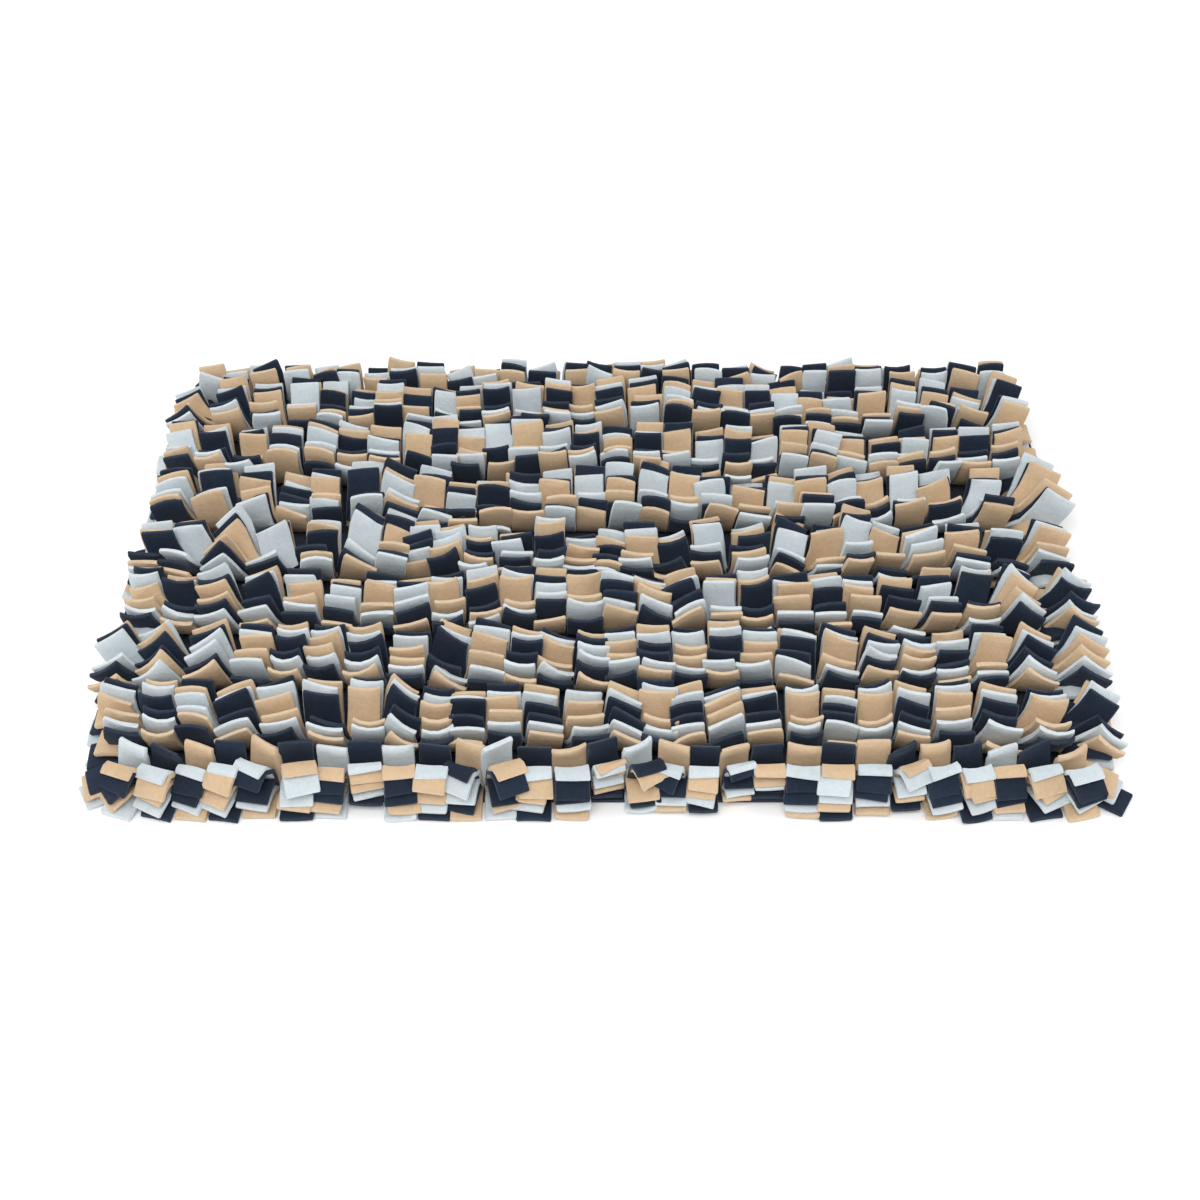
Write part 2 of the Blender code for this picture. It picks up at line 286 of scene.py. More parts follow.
def bundle_count(row):
    """The first and last rows are sewn closer, and the seams at the back a little closer too."""
    if row in (0, LAST):
        return RIM_BUNDLES
    return BUNDLES + round(2 * float(ease(seam_of(row)[1], 0.02, 0.16)))


def colour_orders(count, seam, back, chance):
    """The order of each bundle of a seam. It keeps to the habit or takes one by chance, but never
    one whose inner or outer colour is its neighbour's."""
    breaks = FRONT_BREAKS + MORE_BREAKS * float(ease(SEAM_Y[seam], -0.17, -0.07))
    breaks = RIM_BREAKS if seam == 0 else breaks
    orders = []
    for bundle in range(count):
        left = ORDERS[orders[-1]] if orders else np.full(3, -1)
        differs = (ORDERS[:, 0] != left[0]) & (ORDERS[:, 2] != left[2])
        allowed = np.flatnonzero(differs).tolist()
        habit = (BACK_HABIT if chance.random() < back else FRONT_HABIT)[(bundle + seam) % 2]
        keeps = habit in allowed and chance.random() > breaks
        orders.append(habit if keeps else int(chance.choice(allowed)))
    return np.array(orders)


def seam_draws(row):
    """Random numbers of the bundles of a row's seam. Width is each bundle's share of the seam,
    and place the sum of the shares up to its middle. Some bundles open wide, some slant."""
    seam, seam_line = seam_of(row)
    count = bundle_count(row)
    chance = np.random.default_rng(300 + seam)
    back = float(ease(seam_line, -0.10, 0.08))
    middle = float(middle_zone(seam_line))
    draw = chance.uniform(-1, 1, (7, count))
    order = colour_orders(count, seam, back, chance)
    width = 1 + 0.09 * draw[0]
    width = width / width.sum()
    leans = np.convolve(chance.uniform(-1, 1, count + 2), NEIGHBOUR_SHARES, "valid")
    size = {name: zoned(sizes, back, middle) for name, sizes in SIZES.items()}
    opened = chance.random(count) < size["open"]
    slanted = (chance.random(count) < SLANTED_SHARE) * np.sign(draw[3]) * (1.0 - 0.6 * back)
    return {
        "width": width,
        "place": np.cumsum(width) - width / 2,
        "shift": draw[1] * size["shift"],
        "away": draw[2] * size["away"],
        "seam": seam,
        "turn": draw[3] * size["turn"] + slanted * SLANTED_TURN,
        "roll": leans * size["roll"] + slanted * SLANTED_ROLL,
        "out": 1 + 0.35 * draw[4],
        "lift": draw[5] * size["lift"],
        "open": opened * (1.0 - 0.4 * back),
        "cup": draw[6] * 0.0032 - 0.0014 * (1 - back),
        "order": order,
    }


for row in (0, 1, 8, LAST):
    print("row", row, "seam", seam_of(row)[0], "colour orders", seam_draws(row)["order"])

# %% [markdown]
# ## Where the tips stand
# Between a row's two furrows stand three tips. What is left of the row's width beside their
# thickness is shared out to four gaps. In the front half of the mat the bundles open like
# fans, with lower front tabs. Further back the three tabs stand close together behind a wide
# gap, so that the first one shows its whole face.

# %% Tips of the standing tabs
FLEECE_THICKNESS = 0.0035
# Shares of the four gaps from front to back, and drops of the three tips in metres.
FAN_GAPS = np.array([0.22, 0.27, 0.27, 0.24])
CLOSE_GAPS = {-1: np.array([0.64, 0.10, 0.10, 0.16]), 1: np.array([0.62, 0.11, 0.11, 0.16])}
FAN_DROPS = {-1: np.array([0.0040, 0.0024, 0.0010]), 1: np.array([0.0, 0.0008, 0.0020])}
# For bundles that open wide: the growth of each gap and the drop of their tips.
OPEN_GAPS = {-1: np.array([1.0, 0.7, 0.7, 1.5]), 1: np.array([3.0, 0.6, 0.6, 1.0])}
OPEN_DROP = 0.0035
TIP_LIFT = 0.0015
TIP_SPREAD = 0.0034  # of the heights of tips, where they are most uneven


def drift_y(seam, x):
    """How far the bundles of a seam lean along Y: two waves along the seam, calmer in front."""
    size = 0.0012 + 0.0030 * float(ease(SEAM_Y[seam], -0.16, -0.02))
    return size * (wave(3.7 * x + 0.43 * seam) + 0.6 * wave(8.1 * x + 0.27 * seam + 0.3))


def closing(x, y):
    """0 where the tabs of a row open like a fan and 1 where they stand close together. The
    change from one to the other lies further back to the right of the mat's middle."""
    return ease(y - 0.085 * np.exp(-(((x - 0.12) / 0.13) ** 2)), -0.10, 0.06)


def standing_tips(row, sign, x, draws, chance):
    """Y and height of each tip, as arrays of bundle by place from front to back. Y adds up the
    gaps and thicknesses from the front furrow, and the height is that of the pile less a drop."""
    middle = seam_y(row) + chance.uniform(-0.05, 0.05, len(x))
    back = closing(x, middle)[:, None]
    opened = draws["open"][:, None]
    gaps = FAN_GAPS + (CLOSE_GAPS[sign] - FAN_GAPS) * back
    gaps = gaps * (1 + (OPEN_GAPS[sign] - 1) * opened)
    gaps = gaps * (1 + chance.uniform(-1, 1, gaps.shape) * (0.5 + 0.25 * middle_zone(middle)[:, None]))
    gaps = gaps / gaps.sum(1, keepdims=True)
    low, high = furrow_y(row, x), furrow_y(row + 1, x)
    free = (high - low - 3 * FLEECE_THICKNESS)[:, None]
    drift = drift_y(draws["seam"], x) + draws["away"]
    y = (low + drift)[:, None] + free * np.cumsum(gaps[:, :3], axis=1)
    y = y + FLEECE_THICKNESS * (np.arange(3) + 0.5)
    drop = FAN_DROPS[sign] * (1 - back) + OPEN_DROP * opened * (sign < 0)
    uneven = TIP_SPREAD * (0.45 + 0.55 * back + 0.45 * middle_zone(middle)[:, None])
    drop = drop + chance.uniform(-1, 1, y.shape) * uneven
    return y, crown_height(x[:, None], y) + TIP_LIFT - drop


print("free width of a row in mm:", round((ROW_PITCH - 3 * FLEECE_THICKNESS) * 1000, 1))

# %% [markdown]
# ## Standing and falling tabs
# A tab's path needs two points besides its ends: one where it leaves the seam, and one that sets
# how it arrives at the tip. Tabs at the rim of the mat fall over the edge of the base cloth.
# The lowest ones end flat on the floor, and the ones above rest on them.

# %% Standing and falling tabs
STACK_SQUEEZE = 0.75  # of the fleece's thickness, under the stitches
SIDESTEP = 0.6  # share of the way sideways that a standing tab goes at its foot
FOOT_OUT, FOOT_RISE = 0.002, 0.0016  # of the inner tab, and for each layer
BEND = 0.0016
ARRIVE_SHARES = np.array([1.0, 0.80, 0.58])  # of the way up to the tip, along X, Y and Z
LAST_STRETCH = 0.014  # of a falling tab, before its tip
CUP_SPREAD, SKEW_SPREAD = 0.0009, 0.0010
WIDTH_SHARES, THICKNESS_SHARES = (0.97, 1.0), (0.94, 1.04)  # the least and the most


def points(x, y, z):
    return np.stack(np.broadcast_arrays(x, y, z), axis=-1).astype(float)


def stack_height(layer):
    """Height of a rectangle's middle at the seam, where layer 1 is on top and 3 below."""
    return CLOTH_TOP + (3 - layer + 0.5) * FLEECE_THICKNESS * STACK_SQUEEZE


def standing_tabs(x, seam_line, layer, sign, tip, turn, roll, chance):
    """The curve goes from the seam out by the rectangles above it, then up to the tip. Turn is
    the tip's turn in plan. Roll is its slant: the curve arrives at that angle from the vertical
    on one side, and the edge is square to it."""
    root = points(x, seam_line, stack_height(layer))
    out = sign * (FOOT_OUT + (layer - 0.5) * FLEECE_THICKNESS)
    leave = root + points(SIDESTEP * (tip[:, 0] - x), out, FOOT_RISE * (4 - layer))
    bend = chance.uniform(-1, 1, x.shape) * BEND
    arrive = leave + (tip - leave) * ARRIVE_SHARES
    arrive = arrive + points(np.tan(roll) * (tip - arrive)[:, 2], bend, 0)
    sides = {"side_root": points(1 + 0 * x, 0, 0), "side_tip": points(np.cos(turn), np.sin(turn), 0)}
    return {"root": root, "leave": leave, "arrive": arrive, "tip": tip, **sides}


def falling_tabs(root, tip, layer, rise, slope):
    """The curve rises over what lies below it, then comes down to the tip. Out is the line from
    root to tip in plan, and the last stretch drops by slope for each metre of it."""
    out = tip - root
    out[:, 2] = 0
    stretch = np.minimum(LAST_STRETCH, 0.6 * np.linalg.norm(out, axis=1))
    out = unit(out)
    leave = root + out * ((layer - 0.5) * FLEECE_THICKNESS * 1.3)[:, None] + points(0, 0, rise)
    arrive = tip - out * stretch[:, None] + points(0, 0, stretch * slope)
    return {"root": root, "leave": leave, "arrive": arrive, "tip": tip}


def thrice(values):
    """Each bundle's value for its three tabs."""
    return np.repeat(values, 3)


def finish_tabs(tabs, width, cup, colour, chance):
    """Adds what every tab has: its width, thickness, cup, skew and colour. Width and cup are
    those of the bundles."""
    count = len(colour)
    tabs["width"] = thrice(width) * TAB_FILL * chance.uniform(*WIDTH_SHARES, count)
    tabs["thickness"] = FLEECE_THICKNESS * chance.uniform(*THICKNESS_SHARES, count)
    tabs["cup"] = thrice(cup) + chance.uniform(-1, 1, count) * CUP_SPREAD
    tabs["skew"] = chance.uniform(-1, 1, count) * SKEW_SPREAD
    tabs["colour"] = colour
    return tabs


def joined(parts):
    return {field: np.concatenate([part[field] for part in parts]) for field in parts[0]}


print("height of a rectangle at the seam, in mm:", np.round(stack_height(np.array([1, 2, 3])) * 1000, 2))

# %% [markdown]
# ## Leaning
# Tabs lean in their own plane in slow waves over the mat. Towards the ends of a row they lean
# outwards, because nothing holds them there, and push their neighbours over.

# %% Leaning
END_WEIGHTS = np.array([1.0, 0.64, 0.37, 0.18, 0.06, 0.0])  # from the row's end inwards
# Roll by the waves, and outwards at a row's end the roll, turn and bend: the least, and what is
# added in the middle and in front.
WAVE_ROLL, END_ROLL = np.radians([3.0, 5.0, 2.0]), np.radians([7.0, 7.0, 7.0])
END_TURN, END_BEND = np.radians([6.0, 0.0, 6.0]), (0.0090, 0.0065, 0.0080)
LEAN_ARM = 0.039  # length of a tab above the seam
PUSH_SHARES = [0.27, 0.46, 0.27]
HIGH_TIP = 0.0450


def spread(chance, count, size):
    return chance.uniform(-1, 1, count) * size


def held_down(height):
    """The heights of tips, of which only a quarter of what is above HIGH_TIP is left."""
    return np.minimum(height, HIGH_TIP + (height - HIGH_TIP) / 4)


def outwards(x):
    """1 for the bundle at a row's end, falling to 0 for the sixth from it, with the sign of x."""
    from_end = np.minimum(np.arange(len(x)), np.arange(len(x))[::-1])
    return END_WEIGHTS[np.minimum(from_end, len(END_WEIGHTS) - 1)] * np.sign(x)


def leaning(x, y, draws):
    """Roll, turn, shift along X and drop of each bundle's tips. The roll adds two slow waves
    over the mat, the lean outwards at the ends and the bundle's own. A tip that rolls by an
    angle moves sideways by its sine and down by one less its cosine, times the arm. Tabs that
    lean outwards also bend that way. The shift is a mean over three neighbours."""
    middle, front = float(middle_zone(y)), 1 - float(ease(y, -0.14, 0.02))
    waves = wave(3.3 * x + 1.7 * y + 0.2) + 0.7 * wave(-6.3 * x + 4.1 * y + 0.6)
    out = outwards(x) * draws["out"]
    roll = zoned(WAVE_ROLL, middle, front) * waves + 0.7 * np.abs(out) * draws["turn"]
    roll = roll - out * zoned(END_ROLL, middle, front)
    turn = draws["turn"] - out * zoned(END_TURN, middle, front)
    shift = out * zoned(END_BEND, middle, front)
    shift = shift - LEAN_ARM * (np.sin(roll) + 0.5 * np.sin(draws["roll"]))
    shift = np.convolve(np.pad(shift, 1, "reflect", reflect_type="odd"), PUSH_SHARES, "valid")
    return roll + draws["roll"], turn, shift, LEAN_ARM * (1 - np.cos(roll))


print("outwards:", outwards(np.linspace(-1, 1, BUNDLES))[:6])

# %% [markdown]
# ## Inner rows
# An inner row has three tabs to a bundle. Single tabs stand out from their bundle, and some of
# the outermost flop over the furrow beside them. One more bundle lies down over each end.

# %% Inner rows
# For layers 1, 2 and 3 of a falling bundle: reach beyond the row's end or from its seam,
# height of the tip, rise before the fall and slope at the tip.
END_FALL = (
    [0.0190, 0.0235, 0.0265],
    [0.0160, 0.0090, 0.0022],
    [0.0120, 0.0070, 0.0020],
    [0.25, 0.25, 0.12],
)
END_ROOT = 0.009  # from a row's end back to the seam of the bundle over it
END_HEIGHT_SHARE = 0.7  # of that bundle's heights, in the first and last rows
CORNER_END = math.radians(24.0)  # turn of the tabs over a rim row's end
CORNER_SHIFT = 0.007  # of those tabs, away from the ones that fall beside them
END_SPREADS = (math.radians(9.0), 0.0025, 0.0030, 0.0015)  # of angle, reach, side step, height
WILD_SHARE = 0.12  # of the tabs, which stand out from their bundle
WILD_BEHIND, WILD_BEFORE = [1.0, 0.25, 0.25], 0.35  # how freely, at the back and in front
WILD_ROLL, WILD_TURN = math.radians(24.0), math.radians(10.0)
WILD_SHIFT, WILD_LIFT, WILD_FORWARD = 0.0075, 0.009, 0.0040
# Tabs that flop behind a seam or before it: their place in the bundle, the share of bundles,
# the distance and what is added to it at the back.
FLOPS = {1: (2, 0.70, 0.0038, 0.0046), -1: (0, 0.25, 0.0025, 0.0030)}
FLOP_DROP = 0.0050


def end_tabs(row, side, width, colours, chance):
    """The three tabs of the bundle that lies over one end of a row. At the mat's corners they
    point towards the corner."""
    layer = np.arange(1, 4)
    reach, height, rise, slope = np.array(END_FALL)
    corner = CORNER_END * float((row == LAST) - (row == 0))
    turned, longer, aside, higher = (spread(chance, 3, size) for size in END_SPREADS)
    angle, reach = corner + turned, reach + longer
    height = height * (END_HEIGHT_SHARE if row in (0, LAST) else 1.0)
    inwards = CORNER_SHIFT * float((row == 0) - (row == LAST))
    root_x, line = row_end(row, side) - side * END_ROOT, seam_y(row) + inwards
    tip_x = root_x + side * (END_ROOT + reach) * np.cos(angle)
    tip_y = line + (END_ROOT + reach) * np.sin(angle) + aside
    root = points(np.full(3, root_x), line, stack_height(layer))
    tip = points(tip_x, tip_y, height + higher * (layer < 3))
    tabs = falling_tabs(root, tip, layer, rise, slope)
    tabs["side_root"] = points(np.zeros(3), 1, 0)
    tabs["side_tip"] = points(-side * np.sin(angle), np.cos(angle), 0)
    return finish_tabs(tabs, width, 0.0, colours, chance)


def flopped(row, sign, back, y, z):
    """Lets the outermost tabs of some bundles flop over the furrow between two seams."""
    chance = np.random.default_rng(700 + row)
    place, share, least, more = FLOPS[sign]
    flop = (chance.random(len(y)) < share) * chance.uniform(0.5, 1.0, len(y))
    y[:, place] += sign * (least + more * back) * flop
    z[:, place] -= FLOP_DROP * flop
    return y, z


def standing_row(row, sign, x, widths, draws, chance):
    """Three tabs for each of these bundles, between the row's furrows. A few of them are wild:
    they roll, turn, shift, rise and come forward."""
    layer = np.array([3, 2, 1] if sign < 0 else [1, 2, 3])
    count = len(x)
    layers = np.tile(layer, count)
    roll, turn, shift, drop = leaning(x, seam_y(row), draws)
    places_y, places_z = standing_tips(row, sign, x + shift, draws, chance)
    middle, back = float(middle_zone(seam_y(row))), float(ease(seam_y(row), -0.09, 0.07))
    wild = chance.random(3 * count) < WILD_SHARE * (1 + 0.5 * middle)
    wild = wild * chance.uniform(-1, 1, 3 * count)
    wild = wild * (np.tile(WILD_BEHIND, count) * back + WILD_BEFORE * (1 - back))
    turns = thrice(turn) + spread(chance, 3 * count, math.radians(4.5 + 2.0 * middle))
    rolls = thrice(roll) + spread(chance, 3 * count, math.radians(5.0 + 2.5 * middle))
    rolls = rolls - wild * WILD_ROLL
    turns = turns + wild * WILD_TURN
    sideways = thrice(shift) + spread(chance, 3 * count, 0.0014) + wild * WILD_SHIFT
    lift = thrice(draws["lift"] - drop) + np.abs(wild) * WILD_LIFT
    places_y = places_y - np.minimum(np.abs(wild) * 2, 1).reshape(-1, 3) * WILD_FORWARD
    places_y, places_z = flopped(row, sign, back, places_y, places_z)
    xs = thrice(x)
    tip = points(xs + sideways, places_y.reshape(-1), held_down(places_z.reshape(-1) + lift))
    tabs = standing_tabs(xs, seam_of(row)[1], layers, sign, tip, turns, rolls, chance)
    colour = ORDERS[draws["order"]][:, layer - 1].reshape(-1)
    return finish_tabs(tabs, widths, draws["cup"], colour, chance)


print("tabs of a standing row:", 3 * BUNDLES)

# %% [markdown]
# ## Rims, and all rows
# The first and the last row hold both ends of their rectangles: three tabs fall over the rim
# and three stand or lean above them. At the corners they spread like a fan. Along the front, a
# few short stretches of tabs have drawn back a little.

# %% Rims and all rows
# X, half width and share of the stretches along the front where tabs have drawn back.
RECESSES = (
    (0.008, 0.014, 0.92),
    (0.055, 0.030, 0.35),
    (0.104, 0.021, 0.95),
    (-0.157, 0.009, 0.60),
    (0.195, 0.013, 0.50),
)
# The most that tabs draw back, the reach left to them, and the rise of tips below LOW_TIP.
RECESS_MOST, RECESS_REACH, RECESS_RISE, LOW_TIP = 0.95, 0.0085, 0.0075, 0.020
CORNER_FAN = {-1: math.radians(36.0), 1: math.radians(22.0)}
# Reach, height, rise and slope, as in END_FALL.
FRONT_FALL = (
    [0.0226, 0.0248, 0.0262],
    [0.0112, 0.0066, 0.0022],
    [0.0150, 0.0090, 0.0030],
    [0.80, 0.40, 0.10],
)
BACK_FALL = (
    [0.0200, 0.0235, 0.0254],
    [0.0215, 0.0115, 0.0022],
    [0.0170, 0.0105, 0.0030],
    [0.50, 0.40, 0.10],
)
# Two of the tabs above the front rim lean over it too. The third stands, as at the back rim.
FRONT_UPPER = (
    [0.0212, 0.0150, -0.0045],
    [0.0152, 0.0250, 0.0380],
    [0.0225, 0.0292, 0.0300],
    [1.20, 0.75, -2.50],
)
UNEVEN = 1.2  # of a bundle's own lift and shift, for these
BACK_UPPER_OUT, BACK_UPPER_HEIGHT = [0.0090, 0.0005, -0.0080], [0.0385, 0.0430, 0.0435]
BACK_WILD_SHARE, BACK_WILD_ROLL = 0.35, math.radians(26.0)
BACK_SPREADS = (0.0022, 0.0014, TIP_SPREAD, math.radians(5), math.radians(5))  # X, Y, Z, turn, roll
# Share of the bundles that lie askew, and by how much if they are loose or held.
TURNED_SHARE, LOOSE_TURN, HELD_TURN = 0.26, math.radians(20.0), math.radians(9.0)
LOOSE_SPREAD, HELD_SPREAD = math.radians(8), math.radians(4)
# Towards the corners bundles point sideways: X where that begins and is full, and by how much.
SIDE_FROM, SIDE_TO, SIDE_TURN = 0.12, 0.24, math.radians(8)
FAN_SPREAD, REACH_LESS, HEIGHT_SPREAD = math.radians(9), 0.0032, 0.0018
RIM_OVERLAP, TURNED_LIFT = 0.0014, 0.0036


def drawn_back(x):
    """Sum of bell curves: the share by which the front tabs at x have drawn back."""
    shares = sum(share * np.exp(-(((x - middle) / half) ** 2)) for middle, half, share in RECESSES)
    return np.minimum(shares, RECESS_MOST)


def rim_fall(row, x, widths, draws, fall, chance):
    """Three tabs for each bundle that fall over the rim, each layer on the one below. A bundle
    points out at its own angle: a small one, a wider one for a few of them, and at the corners
    that of the fan. Bundles take turns in lying a little higher, so that neighbours pass over
    each other. The lowest tabs lie level. The upper ones in front are unevenly high."""
    sign = -1 if row == 0 else 1
    count, line = len(x), seam_y(row)
    reach, height, rise, slope = np.tile(fall, count)
    upper, loose = float(fall is FRONT_UPPER), fall is not FRONT_FALL
    layers = np.tile(np.arange(1, 4), count)
    level = (layers == 3) & (fall is not FRONT_UPPER)
    held = np.where(level, 0.5, 1.0)
    turned = (chance.random(count) < TURNED_SHARE) * (1 - np.abs(outwards(x)))
    askew = draws["turn"] * 0.35 + turned * np.sign(draws["turn"]) * (LOOSE_TURN if loose else HELD_TURN)
    askew = askew + ease(np.abs(x), SIDE_FROM, SIDE_TO) * np.sign(x) * SIDE_TURN
    fan = np.where(x < 0, CORNER_FAN[-1], CORNER_FAN[1]) + spread(chance, count, FAN_SPREAD)
    angle = thrice(askew) * np.where(level, 0.2, 1.0) + thrice(outwards(x) * fan) * held
    angle = angle + spread(chance, 3 * count, LOOSE_SPREAD if loose else HELD_SPREAD) * held
    over = thrice((np.arange(count) % 2) * RIM_OVERLAP + turned * TURNED_LIFT * loose)
    drawn = thrice(drawn_back(x)) * float(row == 0)
    out = reach - chance.uniform(0, REACH_LESS, 3 * count) + 0.7 * over
    out = out + thrice(draws["away"]) * UNEVEN * upper
    out = out - (out - np.minimum(out, RECESS_REACH)) * drawn
    raised = thrice(draws["lift"] + SIZES["lift"][0]) * UNEVEN * upper
    high = height + RECESS_RISE * drawn * (height < LOW_TIP) + raised
    high = high + np.where(level, 0.0, over + spread(chance, 3 * count, HEIGHT_SPREAD))
    xs = thrice(x)
    tip = points(xs + out * np.sin(angle), line + sign * out * np.cos(angle), high)
    root = points(xs, line, stack_height(layers))
    tabs = falling_tabs(root, tip, layers, rise + 0.7 * raised, slope)
    tabs["side_root"] = points(np.ones(3 * count), 0, 0)
    tabs["side_tip"] = points(np.cos(angle), -sign * np.sin(angle), 0)
    colour = ORDERS[draws["order"]].reshape(-1)
    return finish_tabs(tabs, widths, draws["cup"] * 0.6, colour, chance)


def back_upper(x, widths, draws, chance):
    """The three tabs that stand above the back rim. They end unevenly."""
    count = len(x)
    layers = np.tile(np.arange(1, 4), count)
    xs = thrice(x)
    roll, turn, shift, drop = leaning(x, seam_y(LAST), draws)
    wild = (chance.random(3 * count) < BACK_WILD_SHARE) * chance.uniform(-1, 1, 3 * count)
    aside, out, high, turned, rolled = (spread(chance, 3 * count, size) for size in BACK_SPREADS)
    tip_x = xs + thrice(shift) + aside
    tip_y = seam_y(LAST) + np.tile(BACK_UPPER_OUT, count) + out
    tip_z = np.tile(BACK_UPPER_HEIGHT, count) + thrice(draws["lift"] - drop) + high
    turns = thrice(turn) * 1.1 + turned
    rolls = thrice(roll) + rolled + wild * BACK_WILD_ROLL
    tip = points(tip_x, tip_y, held_down(tip_z))
    tabs = standing_tabs(xs, seam_y(LAST), layers, -1, tip, turns, rolls, chance)
    colour = ORDERS[draws["order"]].reshape(-1)
    return finish_tabs(tabs, widths, draws["cup"], colour, chance)


def row_tabs(row):
    """All tabs of a row as one set of arrays."""
    draws = seam_draws(row)
    chance = np.random.default_rng(900 + row)
    left, right = row_end(row, -1), row_end(row, 1)
    widths = draws["width"] * (right - left)
    x = left + draws["place"] * (right - left) + draws["shift"]
    falls = {0: (FRONT_FALL, FRONT_UPPER), LAST: (BACK_FALL,)}.get(row, ())
    parts = [rim_fall(row, x, widths, draws, fall, chance) for fall in falls]
    if row == LAST:
        parts.append(back_upper(x, widths, draws, chance))
    elif row > 0:
        parts.append(standing_row(row, -1 if row % 2 else 1, x, widths, draws, chance))
    for side in (-1, 1):
        colours = ORDERS[chance.integers(0, 6)]
        parts.append(end_tabs(row, side, widths.mean(), colours, chance))
    return joined(parts)


ALL_TABS = [row_tabs(row) for row in range(ROWS)]
print("tabs:", sum(len(tabs["colour"]) for tabs in ALL_TABS))

# %% [markdown]
# ## Fleece
# Fleece is brushed on both sides, so its surface is a soft, matt nap with small clumps, and its
# cut edges look paler because light passes between the fibres there; that paleness is painted
# into the colour as a highlight. All three colours share one node group. It reads the place on
# the mat for the nap, and two values that each tab's points carry: its tint, and how much of the
# painted edge highlight it takes. The sheen is the same all over, so it is set on the shader
# itself.

# %% Shared fleece nodes
def new_group(name, inputs, outputs):
    """An empty shader node group, its input node and its output node. Sockets with tuples as
    values are for colours."""
    group = bpy.data.node_groups.new(name, "ShaderNodeTree")
    for label, value in inputs.items():
        kind = "NodeSocketColor" if isinstance(value, tuple) else "NodeSocketFloat"
        group.interface.new_socket(name=label, in_out="INPUT", socket_type=kind).default_value = value
    for label in outputs:
        kind = "NodeSocketColor" if label == "Color" else "NodeSocketFloat"
        group.interface.new_socket(name=label, in_out="OUTPUT", socket_type=kind)
    return group, group.nodes.new("NodeGroupInput"), group.nodes.new("NodeGroupOutput")


def set_inputs(node, values):
    for label, value in values.items():
        node.inputs[label].default_value = value
    return node


def fill(group, sockets, values):
    """Gives the sockets their values in order. A value that is a socket itself is linked."""
    for socket, value in zip(sockets, values):
        if isinstance(value, bpy.types.NodeSocket):
            group.links.new(value, socket)
        else:
            socket.default_value = value


def noise(group, vector, scale, detail, roughness=0.5):
    node = group.nodes.new("ShaderNodeTexNoise")
    set_inputs(node, {"Scale": scale, "Detail": detail, "Roughness": roughness})
    fill(group, [node.inputs["Vector"]], [vector])
    return node.outputs["Fac"]


def maths(group, operation, *values):
    node = group.nodes.new("ShaderNodeMath")
    node.operation = operation
    fill(group, node.inputs, values)
    return node.outputs[0]


def rescale(group, value, new_low, new_high, low=0.3, high=0.7):
    """From low..high, which is 0.3..0.7 for noise, to new_low..new_high."""
    node = group.nodes.new("ShaderNodeMapRange")
    fill(group, node.inputs, (value, low, high, new_low, new_high))
    return node.outputs[0]


def mix_colours(group, share, first, second, blend="MIX"):
    node = group.nodes.new("ShaderNodeMix")
    node.data_type = "RGBA"
    node.blend_type = blend
    fill(group, (node.inputs[0], node.inputs[6], node.inputs[7]), (share, first, second))
    return node.outputs[2]


def mottled(group, colour, mottle, parts):
    """The colour times 1 + mottle * (the sum of the parts)."""
    light = parts[0]
    for part in parts[1:]:
        light = maths(group, "ADD", light, part)
    light = maths(group, "MULTIPLY_ADD", light, mottle, 1.0)
    grey = group.nodes.new("ShaderNodeCombineColor")
    fill(group, grey.inputs, (light, light, light))
    return mix_colours(group, 1.0, colour, grey.outputs[0], "MULTIPLY")


def build_fleece_group():
    """Colour is the base times nap, clump and tab tints, then mixed towards the painted highlight
    along the cut edges. Height adds a fine nap, small clumps and slow unevenness."""
    values = {"Fleece Color": (0.5, 0.5, 0.5, 1.0), "Edge Highlight Color": (0.8, 0.8, 0.8, 1.0)}
    values |= {"Mottle": 0.2, "Tint": 0.5, "Edge Highlight Share": 0.0}
    group, enter, leave = new_group("fleece_nap", values, ("Color", "Roughness", "Height"))
    where = group.nodes.new("ShaderNodeTexCoord").outputs["Object"]
    nap = noise(group, where, 900.0, 2.0, 0.6)
    clumps = noise(group, where, 330.0, 3.0, 0.6)
    patches = noise(group, where, 60.0, 2.0)
    parts = [
        rescale(group, nap, -0.45, 0.45),
        rescale(group, clumps, -0.5, 0.5),
        rescale(group, patches, -0.4, 0.4),
        rescale(group, enter.outputs["Tint"], -0.6, 0.6, 0.0, 1.0),
    ]
    colour = mottled(group, enter.outputs["Fleece Color"], enter.outputs["Mottle"], parts)
    # A paler colour along the cut edges, broken up by the clumps: a painted highlight.
    edge = maths(group, "MULTIPLY", enter.outputs["Edge Highlight Share"], rescale(group, clumps, 0.45, 1.0))
    colour = mix_colours(group, edge, colour, enter.outputs["Edge Highlight Color"])
    height = maths(group, "MULTIPLY_ADD", clumps, 0.65, patches)
    height = maths(group, "MULTIPLY_ADD", nap, 0.35, height)
    fill(group, leave.inputs, (colour, rescale(group, clumps, 0.88, 1.0), height))
    return group


FLEECE_GROUP = build_fleece_group()
print("nodes in", FLEECE_GROUP.name, len(FLEECE_GROUP.nodes))

# %% Fleece materials
# Base colour, colour of the painted highlight on the cut edges, tint of the sheen, and mottle.
FLEECE_FINISH = {
    "fleece_navy": ((0.0130, 0.0205, 0.0360), (0.030, 0.040, 0.060), (0.50, 0.56, 0.70), 0.26),
    "fleece_tan": ((0.575, 0.410, 0.258), (0.650, 0.505, 0.355), (1.0, 0.88, 0.74), 0.10),
    "fleece_pale_blue": ((0.535, 0.593, 0.622), (0.650, 0.695, 0.715), (0.93, 0.97, 1.0), 0.09),
}
FLEECE_RELIEF = {"Strength": 0.55, "Distance": 0.0012}
FLEECE_SHADER = {"Specular IOR Level": 0.15, "Sheen Weight": 0.22, "Sheen Roughness": 0.45}


